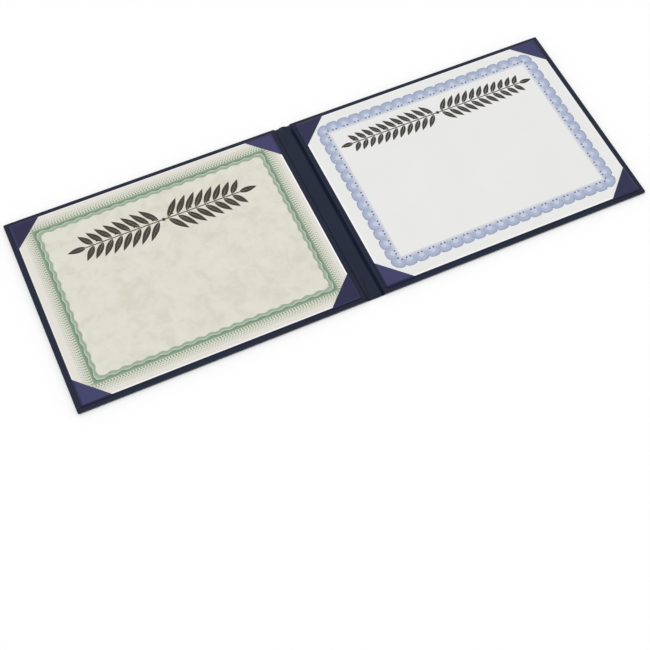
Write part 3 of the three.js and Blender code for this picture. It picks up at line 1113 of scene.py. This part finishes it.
def build_dots(settings):
    """A pair of dark dots in each scallop."""
    middle, stations = lobe_stations()
    bm = bmesh.new()
    for point, across, _, _ in stations[LOBE_STEPS // 2::LOBE_STEPS]:
        beside = Vector((-across.y, across.x))
        for way in (-1, 1):
            spot = point + across * DOT_OUT + beside * DOT_APART * way + middle
            disc(bm, *spot, DOT_R)
    material = plain_ink_material("blue dots", shade(92, 102, 130))
    return finish_print(bm, "back_print_dots", settings, material, over=PRINT_T)


# Laurels in the place of the headings: pairs of leaves in each spray, and a leaf's width

LAURELS = {"front": (8, 6.4), "back": (11, 5.4)}
LEAF_LEAN = 0.9
LEAF_SKEW = 0.8
LEAF_FULLNESS = 0.9
# Where in its stretch of the stem a pair begins, how much the last pair shrinks, and how far
# the leaves stand off the stem's middle
LEAF_START = 0.2
LEAF_FADE = 0.3
LEAF_OFF = 0.8
LEAF_LEAST = 0.03
MIDRIB = 0.22
STEM_W = 1.1
BERRY_R = 0.95
BERRY_AHEAD = 0.55
BERRY_UP = 3.1
# Distance from the middle to the first leaves, and the knot and the stem's start as shares of it
KNOT = 3.0
KNOT_SHARE = 0.62
STEM_SHARE = 0.6


def leaf(bm, length, width, angle, x, y):
    """Two halves beside a midrib, pointed at both ends."""
    matrix = Matrix.Translation((x, y, 0)) @ Matrix.Rotation(angle, 4, "Z")
    for way in (-1, 1):
        half = bmesh.ops.create_grid(bm, x_segments=9, y_segments=2, size=1)["verts"]
        for vert in half:
            run, out = (vert.co.x + 1) / 2, (vert.co.y + 1) / 2
            belly = 0.0
            if 0 < run < 1:
                belly = math.sin(math.pi * run ** LEAF_SKEW) ** LEAF_FULLNESS
            rib = MIDRIB / 2 * (1 - run)
            reach = rib + out * max(width / 2 * belly - rib, LEAF_LEAST)
            vert.co = (run * length, way * reach, 0)
        bmesh.ops.transform(bm, matrix=matrix, verts=half)


def build_laurel(cover, settings, material):
    """Two sprays of paired leaves with berries, from a knot in the middle."""
    middle, half = box_frame(f"{cover}_sheet_laurel")
    pairs, width = LAURELS[cover]
    length = half.y / math.sin(LEAF_LEAN)
    stem_end = half.x - half.y
    bm = bmesh.new()
    for side in (-1, 1):
        outward = 0.0 if side > 0 else math.pi
        for i in range(pairs):
            run = KNOT + (stem_end - KNOT) * (i + LEAF_START) / pairs
            fade = 1 - LEAF_FADE * (i / pairs) ** 2
            for up in (-1, 1):
                angle = outward + side * up * LEAF_LEAN
                x, y = middle.x + side * run, middle.y + up * LEAF_OFF
                leaf(bm, length * fade, width, angle, x, y)
            if i % 2 == 0:
                berry = run + (stem_end - KNOT) * BERRY_AHEAD / pairs
                disc(bm, middle.x + side * berry, middle.y + BERRY_UP, BERRY_R)
        leaf(bm, half.y, width, outward, middle.x + side * stem_end, middle.y)
        stem = (stem_end - KNOT * STEM_SHARE) / 2
        patch(
            bm, middle.x + side * (stem_end - stem), middle.y, stem, STEM_W / 2, columns=12)
    disc(bm, *middle, KNOT * KNOT_SHARE, segments=24)
    for face in bm.faces:
        if face.normal.z < 0:
            face.normal_flip()
    return finish_print(bm, f"{cover}_print_laurel", settings, material)


# Corner ribbons

RIBBON_CELLS = 20
SLICE_REACH = 0.001
SATIN_T = 0.16
THREAD_UV = "thread"
# Roundness of the fold over the panel's edge, in the mesh and in the shading
FOLD_R = 0.45
FOLD_DEPTH = 0.8
LEG_ROUND = 2.6
LEG_DROP = 0.8
# Width of the darker band along the long edge: the selvedge, and painted shade along that edge
SELVEDGE_SHADE_W = 0.8
# Radians of a pucker to a millimetre across and along, and how far the second bends the first
PUCKER_ACROSS = 0.62
PUCKER_ALONG = 0.3
PUCKER_BEND = 0.5
# Distances from the legs and from the long edge at which the puckers are full
LEG_CALM = 5
EDGE_CALM = 3
# Least and most that the satin lies below the top of its solid
LEAST_SAG = 0.06
MOST_SAG = 0.2
# Heights above the cover's top of the rows of the folded part
LEG_ROWS = (0.5, 0.02)


def ribbon_mesh(low, high, side_x, side_y, pucker):
    """A satin triangle over a corner, folded down along both of its legs."""
    leg, top = high.x - low.x, high.z
    bm = bmesh.new()
    patch(bm, leg / 2, leg / 2, leg / 2, leg / 2, RIBBON_CELLS, RIBBON_CELLS)
    slice_mesh(bm, (leg, 0, 0), (1, 1, 0), SLICE_REACH, clear=True)

    # A close row beside each leg gives the fold its round edge
    for normal in (Vector((1, 0, 0)), Vector((0, 1, 0))):
        for reach in (FOLD_R * 0.3, FOLD_R):
            slice_mesh(bm, normal * reach, normal, SLICE_REACH / 2)
    for vert in bm.verts:
        a, b, _ = vert.co
        fold = 0.0
        for reach in (a, b):
            short = max(0.0, FOLD_R - reach) / FOLD_R
            fold += FOLD_R * (1 - math.sqrt(1 - min(short, 1.0) ** 2)) * FOLD_DEPTH
        across = (leg - a - b) / math.sqrt(2)
        along = (a - b) / math.sqrt(2)
        bend = PUCKER_BEND * math.sin(along * PUCKER_ALONG + side_x)
        wave = math.sin(across * PUCKER_ACROSS + bend + side_y)
        calm = min(1.0, a / LEG_CALM) * min(1.0, b / LEG_CALM) * min(1.0, across / EDGE_CALM)
        sag = LEAST_SAG + pucker * 0.5 * (1 - wave) * calm
        vert.co.z = top - fold - min(sag, MOST_SAG)
    legs = [
        e for e in bm.edges if e.is_boundary
        and any(all(v.co[axis] < SLICE_REACH for v in e.verts) for axis in (0, 1))]
    for height in LEG_ROWS:
        z = COVER_TOP + height
        legs = pull(bm, legs, lambda v, z=z: (v.co.x, v.co.y, z))

    uv = bm.loops.layers.uv.new(THREAD_UV)
    for face in bm.faces:
        for loop in face.loops:
            a, b, z = loop.vert.co
            drop = top - z if top - z > 0.5 else 0
            loop[uv].uv = ((a - b) / math.sqrt(2), (leg - a - b) / math.sqrt(2) + drop)
    bmesh.ops.scale(bm, vec=(-side_x, -side_y, 1), verts=bm.verts)
    corner = (high.x if side_x > 0 else low.x, high.y if side_y > 0 else low.y, 0)
    bmesh.ops.translate(bm, vec=corner, verts=bm.verts)
    facing_up(bm)
    return bm


def build_ribbon(node, side_x, side_y, settings, material):
    bm = ribbon_mesh(*node_box(node), side_x, side_y, settings.pucker / MM)
    made = mesh_object(bm, node.replace("ribbon", "satin"), material, sharp_angle=60)
    return thicken(made, SATIN_T * MM)


def satin_material(settings):
    surface = Surface("satin")
    base = settings.satin
    thread = surface.add("UVMap", uv_map=THREAD_UV)["UV"]
    x, y, _ = surface.split(thread)
    stretched = surface.add("Mapping", {"Vector": thread, "Scale": (0.25, 6.0, 1.0)})["Vector"]
    threads = surface.noise(stretched, 1.0, 3.0, Roughness=0.6)["Fac"]
    colour = surface.shades(threads, base, (0.3, 0.65), (0.7, 1.45))
    # Darker along the long edge: the selvedge, and painted shade along that edge
    selvedge_and_edge_shade = surface.math("LESS_THAN", y, SELVEDGE_SHADE_W) * 0.4

    # Beside its two legs the ribbon bends down
    leg = (RIBBON_HIGH.x - RIBBON_LOW.x) / math.sqrt(2)
    short = 1 - (leg - y - abs(x)).share(LEG_ROUND * math.sqrt(2))
    height = threads * 0.08 - short * short * LEG_DROP
    return surface.finish({
        "Base Color": surface.mix(selvedge_and_edge_shade, colour, tint(base, 0.6)),
        "Normal": surface.bump(height, 1 * MM),
        "Tangent": surface.add("Tangent", direction_type="UV_MAP", uv_map=THREAD_UV)["Tangent"],
        "Roughness": 0.46,
        "Anisotropic": 0.95,
        # The gloss spreads across the threads, which run along the ribbon
        "Anisotropic Rotation": 0.25,
        "Specular IOR Level": 1.0,
        "Specular Tint": shade(165, 172, 255),
        "Sheen Weight": 0.05,
    })


# Stage

CAMERA_PLACE = Vector((-0.3107, -0.6750, 1.0546))
CAMERA_TARGET = Vector((-0.05655, -0.11964, 0.0))
CAMERA_ROLL = 0.16
KEY_FROM = Vector((-0.75, -0.1, 1.9))
KEY_SPREAD = 32
FLOOR_HALF = 6.0


def look(place, target):
    """Stands at a place and faces a target."""
    turn = (target - place).to_track_quat("-Z", "Y").to_matrix().to_4x4()
    return Matrix.Translation(place) @ turn


def build_camera(settings):
    data = bpy.data.cameras.new("camera")
    data.lens = settings.lens
    data.sensor_width = 36
    data.clip_start = 0.01
    camera = link_object("camera", data)
    roll = Matrix.Rotation(math.radians(CAMERA_ROLL), 4, "Z")
    camera.matrix_world = look(CAMERA_PLACE, CAMERA_TARGET) @ roll
    bpy.context.scene.camera = camera


def background_rays(nodes):
    """1 for the rays that show the background itself, 0 for those that light the object."""
    rays = nodes.add("LightPath")
    return nodes.highest(*(rays[f"Is {kind} Ray"] for kind in ("Camera", "Glossy", "Transmission")))


def build_lights(settings):
    data = bpy.data.lights.new("key", "SUN")
    data.energy = settings.key
    data.angle = math.radians(KEY_SPREAD)
    link_object("key", data).matrix_world = look(KEY_FROM, Vector((0, 0, 0)))

    world = bpy.data.worlds.new("studio")
    bpy.context.scene.world = world
    world.use_nodes = True
    nodes = Nodes(world.node_tree)
    strength = nodes.node(
        "Mix", {0: background_rays(nodes), 2: settings.sky, 3: 1.0}, data_type="FLOAT")
    nodes.fill(
        world.node_tree.nodes["Background"],
        {"Strength": Value(nodes, strength.outputs[0]), "Color": (1, 1, 1, 1)})


def build_floor():
    bm = bmesh.new()
    patch(bm, 0, 0, FLOOR_HALF / MM, FLOOR_HALF / MM, columns=4, rows=4)
    surface = Surface("floor")
    colour = surface.mix(background_rays(surface), grey(0.8), grey(1.0))
    material = surface.finish(
        {"Base Color": colour, "Roughness": 1.0, "Specular IOR Level": 0.0})
    mesh_object(bm, "floor", material)


def dress(made, node, body):
    """Hides the CAD node that a piece stands for, and puts the piece on the body that it rides on.
    """
    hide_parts(node)
    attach(made, body)


def dress_fold(made, cover, *nodes):
    """Hides the CAD nodes that a piece of leatherette at a cover's fold stands for, and bakes its
    place into its mesh.
    """
    side = COVERS[cover]
    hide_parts(*nodes)
    side * FOLD_START * MM
    side * FOLD_END * MM
    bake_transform(made)


class BinderOperator:
    """Shared settings of the operators."""

    bl_options = {"REGISTER", "UNDO"}


class MESH_OT_binder_stage(BinderOperator, bpy.types.Operator):
    """Set up the camera, the lamps, the sky and the floor"""

    bl_idname = "mesh.binder_stage"
    bl_label = "Stage"

    def execute(self, context):
        settings = context.scene.binder_stage
        build_camera(settings)
        build_lights(settings)
        build_floor()
        return {"FINISHED"}


class MESH_OT_binder_leatherette(BinderOperator, bpy.types.Operator):
    """Wrap both covers and the spine in leatherette"""

    bl_idname = "mesh.binder_leatherette"
    bl_label = "Leatherette"

    def execute(self, context):
        settings = context.scene.binder_cover
        material = leatherette_material(settings)
        for cover in COVERS:
            made = build_leatherette(cover, settings, material)
            dress_fold(made, cover, f"{cover}_wrap", "spine_wrap")
        return {"FINISHED"}


class MESH_OT_binder_lining(BinderOperator, bpy.types.Operator):
    """Glue the lining over the spine and the two folds"""

    bl_idname = "mesh.binder_lining"
    bl_label = "Spine lining"

    def execute(self, context):
        material = leatherette_material(context.scene.binder_cover, "lining")
        for cover in COVERS:
            dress_fold(build_lining(cover, material), cover, "spine_lining")
        return {"FINISHED"}


class MESH_OT_binder_core(BinderOperator, bpy.types.Operator):
    """Finish the foam pads, the boards, the spine card and the inner panels"""

    bl_idname = "mesh.binder_core"
    bl_label = "Boards and panels"

    def execute(self, context):
        settings = context.scene.binder_cover
        finishes = {
            "pad": foam_material(settings),
            "board": board_material(settings),
            "card": board_material(settings),
            "liner": cloth_material(settings),
        }
        for name, node in frame["nodes"].items():
            kind = name.split("_")[1]
            if kind in finishes:
                node.data.materials.clear()
                node.data.materials.append(finishes[kind])
            kind == "pad"
        return {"FINISHED"}


class MESH_OT_binder_sheets(BinderOperator, bpy.types.Operator):
    """Lay a sheet of paper on each inner panel"""

    bl_idname = "mesh.binder_sheets"
    bl_label = "Sheets"

    def execute(self, context):
        settings = context.scene.binder_sheet
        for cover, slot in (("back", "white_paper"), ("front", "parchment_paper")):
            made = build_sheet(cover, settings, paper_material(cover, settings))
            dress(made, f"{cover}_sheet", f"{cover}_cover")
        return {"FINISHED"}


class MESH_OT_binder_wave_border(BinderOperator, bpy.types.Operator):
    """Print the wavy green border and its strokes on the front sheet"""

    bl_idname = "mesh.binder_wave_border"
    bl_label = "Wavy border"

    def execute(self, context):
        settings = context.scene.binder_sheet
        for made in (build_wave_border(settings), build_ticks(settings)):
            dress(made, "front_sheet_border", "front_cover")
        return {"FINISHED"}


class MESH_OT_binder_lobe_border(BinderOperator, bpy.types.Operator):
    """Print the scalloped blue border and its dots on the back sheet"""

    bl_idname = "mesh.binder_lobe_border"
    bl_label = "Scalloped border"

    def execute(self, context):
        settings = context.scene.binder_sheet
        for made in (build_lobe_border(settings), build_dots(settings)):
            dress(made, "back_sheet_border", "back_cover")
        return {"FINISHED"}


class MESH_OT_binder_laurels(BinderOperator, bpy.types.Operator):
    """Print a laurel at the head of each sheet"""

    bl_idname = "mesh.binder_laurels"
    bl_label = "Laurels"

    def execute(self, context):
        settings = context.scene.binder_sheet
        material = plain_ink_material("dark print", settings.dark)
        for cover in COVERS:
            made = build_laurel(cover, settings, material)
            dress(made, f"{cover}_sheet_laurel", f"{cover}_cover")
        return {"FINISHED"}


class MESH_OT_binder_ribbons(BinderOperator, bpy.types.Operator):
    """Stretch a satin ribbon over each corner of the sheets"""

    bl_idname = "mesh.binder_ribbons"
    bl_label = "Corner ribbons"

    def execute(self, context):
        settings = context.scene.binder_ribbon
        material = satin_material(settings)
        for cover, side in COVERS.items():
            for edge, side_x in (("outer", side), ("spine", -side)):
                for end, side_y in (("far", 1), ("near", -1)):
                    node = f"{cover}_ribbon_{end}_{edge}"
                    made = build_ribbon(node, side_x, side_y, settings, material)
                    dress(made, node, f"{cover}_cover")
        return {"FINISHED"}


class VIEW3D_PT_binder(bpy.types.Panel):
    """Panel of the binder's pieces"""

    bl_label = "Binder"
    bl_space_type = "VIEW_3D"
    bl_region_type = "UI"
    bl_category = "Binder"

    def draw(self, context):
        for operator in OPERATORS:
            self.layout.operator(operator.bl_idname)
        for name in SETTINGS:
            group = getattr(context.scene, name)
            box = self.layout.box()
            for prop in group.bl_rna.properties:
                if prop.identifier not in ("rna_type", "name"):
                    box.prop(group, prop.identifier)


SETTINGS = {
    "binder_cover": BinderCoverSettings,
    "binder_sheet": BinderSheetSettings,
    "binder_ribbon": BinderRibbonSettings,
    "binder_stage": BinderStageSettings,
}
OPERATORS = [
    MESH_OT_binder_stage,
    MESH_OT_binder_leatherette,
    MESH_OT_binder_lining,
    MESH_OT_binder_core,
    MESH_OT_binder_sheets,
    MESH_OT_binder_wave_border,
    MESH_OT_binder_lobe_border,
    MESH_OT_binder_laurels,
    MESH_OT_binder_ribbons,
]


def register():
    for made in (*SETTINGS.values(), *OPERATORS, VIEW3D_PT_binder):
        bpy.utils.register_class(made)
    for name, group in SETTINGS.items():
        setattr(bpy.types.Scene, name, bpy.props.PointerProperty(type=group))


def unregister():
    for name in SETTINGS:
        delattr(bpy.types.Scene, name)
    for made in reversed((*SETTINGS.values(), *OPERATORS, VIEW3D_PT_binder)):
        bpy.utils.unregister_class(made)


def main():
    register()
    bpy.context.scene.view_settings.view_transform = "Standard"
    for operator in OPERATORS:
        group, name = operator.bl_idname.split(".")
        getattr(getattr(bpy.ops, group), name)()


if __name__ == "__main__":
    main()
